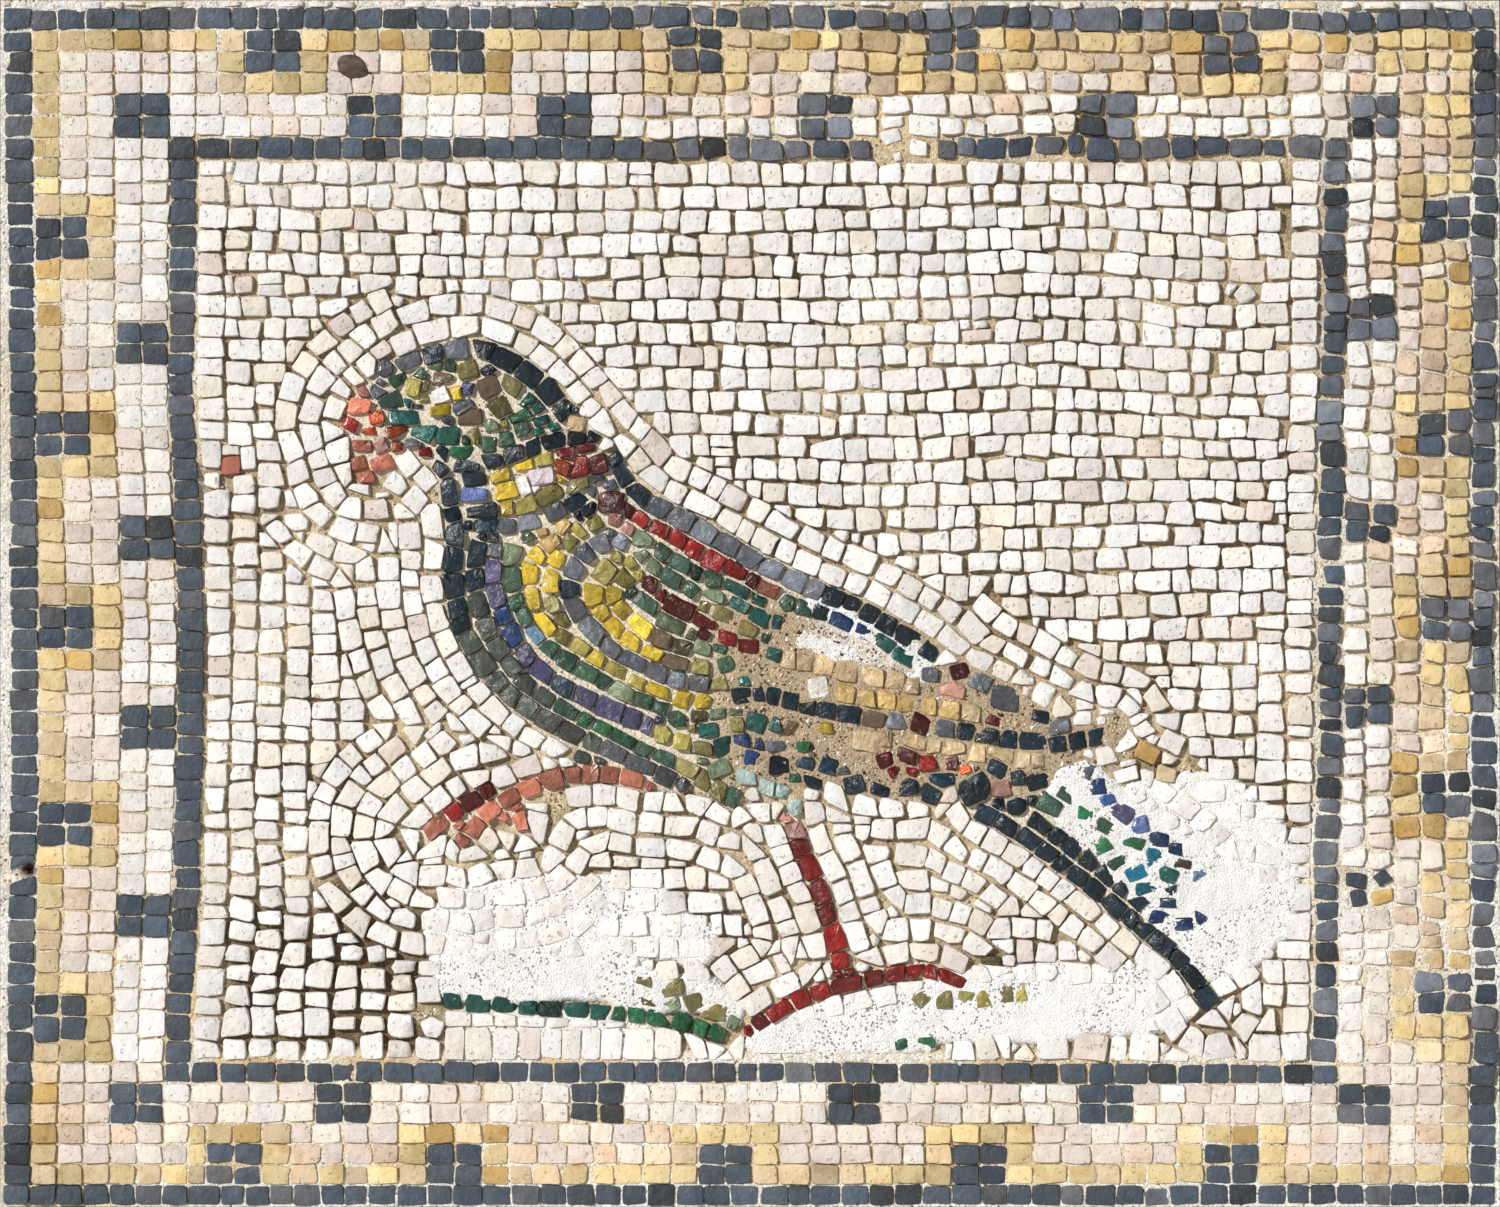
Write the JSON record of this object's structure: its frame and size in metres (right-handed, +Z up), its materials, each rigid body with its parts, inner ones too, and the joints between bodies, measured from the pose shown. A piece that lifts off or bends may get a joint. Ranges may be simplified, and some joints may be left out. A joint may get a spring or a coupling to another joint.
{
  "type": "mosaic panel",
  "caption": "Rectangular mosaic panel with a bird walking to the left on a white field, inside a border of stepped dark, ochre and pale rows.",
  "frame": {"origin": "centre of the flat back face, against the wall", "axes": "+X to the right across the picture, +Z up, the picture faces -Y"},
  "size_m": [0.6, 0.0293, 0.4828],
  "materials": {
    "amber_glass": "opaque glass, glossy on broken faces",
    "blue_glass": "opaque glass, glossy on broken faces",
    "coral_stone": "satin, worn",
    "green_glass": "opaque glass, glossy on broken faces",
    "lime_glass": "opaque glass, glossy on broken faces",
    "maroon_glass": "opaque glass, glossy on broken faces",
    "mortar": "rough sandy lime mortar",
    "navy_glass": "opaque glass, glossy on broken faces",
    "ochre_limestone": "matt, worn smooth",
    "olive_glass": "opaque glass, glossy on broken faces",
    "pale_limestone": "matt, worn smooth",
    "plaster": "rough speckled lime plaster",
    "red_glass": "opaque glass, glossy on broken faces",
    "sage_glass": "opaque glass, glossy on broken faces",
    "tan_stone": "matt, pitted",
    "slate_stone": "satin, worn smooth",
    "teal_glass": "opaque glass, glossy on broken faces",
    "violet_glass": "opaque glass, glossy on broken faces",
    "white_limestone": "matt, worn smooth",
    "yellow_glass": "opaque glass, glossy on broken faces"
  },
  "bodies": {
    "root": {"mortar_bed": "mortar", "outer_line": "slate_stone", "ochre_row": "ochre_limestone", "pale_rows": "pale_limestone", "inner_line": "slate_stone", "white_field": "white_limestone", "crown_line": "navy_glass", "collar_top_line": "navy_glass", "collar_bottom_line": "slate_stone", "back_line": "slate_stone", "back_red_line": "red_glass", "back_blue_line": "blue_glass", "breast_line_outer": "navy_glass", "breast_line_inner": "navy_glass", "violet_band": "violet_glass", "green_band": "green_glass", "yellow_band": "yellow_glass", "shoulder_line": "slate_stone", "shoulder_yellow_gap": "lime_glass", "wing_yellow_outer": "yellow_glass", "wing_yellow_inner": "yellow_glass", "feather_tan_row": "tan_stone", "feather_ochre_row": "amber_glass", "feather_dark_line": "navy_glass", "under_line": "navy_glass", "rump_row": "slate_stone", "tail_line": "navy_glass", "tail_line_inner": "navy_glass", "tail_blue_row": "blue_glass", "standing_leg": "red_glass", "standing_foot": "red_glass", "raised_leg": "coral_stone", "raised_toe": "maroon_glass", "raised_toe_back": "coral_stone", "ground_line": "green_glass", "tuft_left": "olive_glass", "tuft_right": "olive_glass", "head_feathers": "green_glass", "beak": "coral_stone", "collar": "yellow_glass", "wing_green_feathers": "sage_glass", "belly_feathers": "olive_glass", "rump_feathers": "tan_stone", "tail_feathers": "teal_glass", "repair_left": "plaster", "repair_feet": "plaster", "repair_tail": "plaster", "repair_wing": "plaster"}
  },
  "joints": []
}
